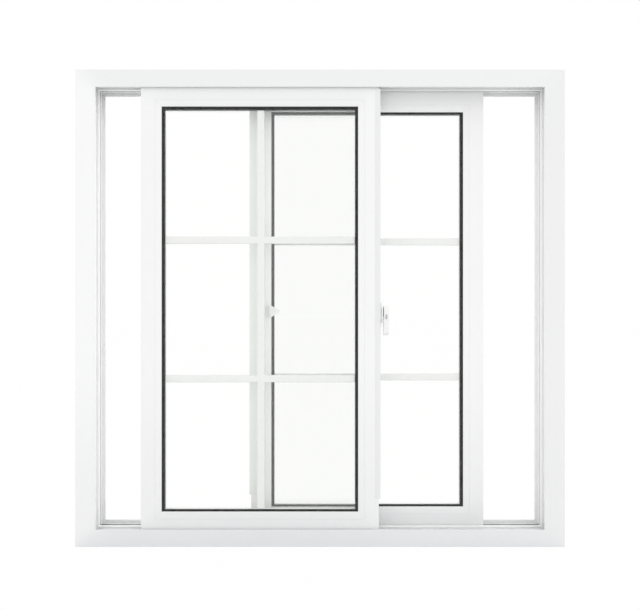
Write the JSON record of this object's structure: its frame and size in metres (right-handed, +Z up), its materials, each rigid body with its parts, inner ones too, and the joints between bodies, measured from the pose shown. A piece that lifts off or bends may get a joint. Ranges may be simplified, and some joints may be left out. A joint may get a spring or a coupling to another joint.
{
  "type": "horizontal sliding window",
  "caption": "White horizontal sliding window: two double-glazed sashes with grid bars in a twin-channel frame, rollers, interlocking meeting stiles and a cam lock.",
  "frame": {"origin": "middle of the sill's outer bottom face", "axes": "+X to the right as seen from the room, +Y from the room to the outside, +Z up"},
  "size_m": [1.2, 0.099, 1.17],
  "materials": {
    "frame_plastic": "smooth white extrusion, satin",
    "sash_plastic": "smooth white extrusion, satin",
    "bead_plastic": "smooth white extrusion, satin",
    "interlock_plastic": "smooth white extrusion, satin",
    "gasket": "matt black",
    "spacer": "dark grey, slightly glossy",
    "glass": "clear float glass",
    "grid_paint": "white paint, satin",
    "block_plastic": "matt",
    "track_aluminium": "mill finish",
    "carriage_steel": "zinc plated",
    "roller_plastic": "smooth nylon",
    "lock_paint": "white powder coat, satin"
  },
  "bodies": {
    "frame": {"frame_head": "frame_plastic", "frame_sill": "frame_plastic", "frame_left_jamb": "frame_plastic", "frame_right_jamb": "frame_plastic", "front_sill_track": "track_aluminium", "rear_sill_track": "track_aluminium"},
    "front_sash": {"front_sash_top_rail": "sash_plastic", "front_sash_bottom_rail": "sash_plastic", "front_sash_left_stile": "sash_plastic", "front_sash_right_stile": "sash_plastic", "front_sash_top_bead": "bead_plastic", "front_sash_bottom_bead": "bead_plastic", "front_sash_left_bead": "bead_plastic", "front_sash_right_bead": "bead_plastic", "front_sash_gaskets": "gasket", "front_sash_inner_pane": "glass", "front_sash_outer_pane": "glass", "front_sash_glass_spacer": "spacer", "front_sash_grid_bars": "grid_paint", "front_sash_setting_blocks": "block_plastic", "front_sash_interlock": "interlock_plastic", "front_sash_roller_housings": "carriage_steel", "front_sash_rollers": "roller_plastic", "lock_base": "lock_paint"},
    "rear_sash": {"rear_sash_top_rail": "sash_plastic", "rear_sash_bottom_rail": "sash_plastic", "rear_sash_left_stile": "sash_plastic", "rear_sash_right_stile": "sash_plastic", "rear_sash_top_bead": "bead_plastic", "rear_sash_bottom_bead": "bead_plastic", "rear_sash_left_bead": "bead_plastic", "rear_sash_right_bead": "bead_plastic", "rear_sash_gaskets": "gasket", "rear_sash_inner_pane": "glass", "rear_sash_outer_pane": "glass", "rear_sash_glass_spacer": "spacer", "rear_sash_grid_bars": "grid_paint", "rear_sash_setting_blocks": "block_plastic", "rear_sash_interlock": "interlock_plastic", "rear_sash_roller_housings": "carriage_steel", "rear_sash_rollers": "roller_plastic", "lock_keeper": "lock_paint"},
    "lock_lever": {"lock_lever": "lock_paint"}
  },
  "joints": [
    {"name": "front_sash_slide", "type": "slide", "parent": "frame", "child": "front_sash", "axis": [1, 0, 0], "range_m": [-0.1199, 0.375]},
    {"name": "rear_sash_slide", "type": "slide", "parent": "frame", "child": "rear_sash", "axis": [1, 0, 0], "range_m": [-0.3686, 0.1487]},
    {"name": "lock_lever_turn", "type": "hinge", "parent": "front_sash", "child": "lock_lever", "pos_m": [0.1517, -0.024, 0.577], "axis": [-1, 0, 0], "range_deg": [0, 180]}
  ]
}
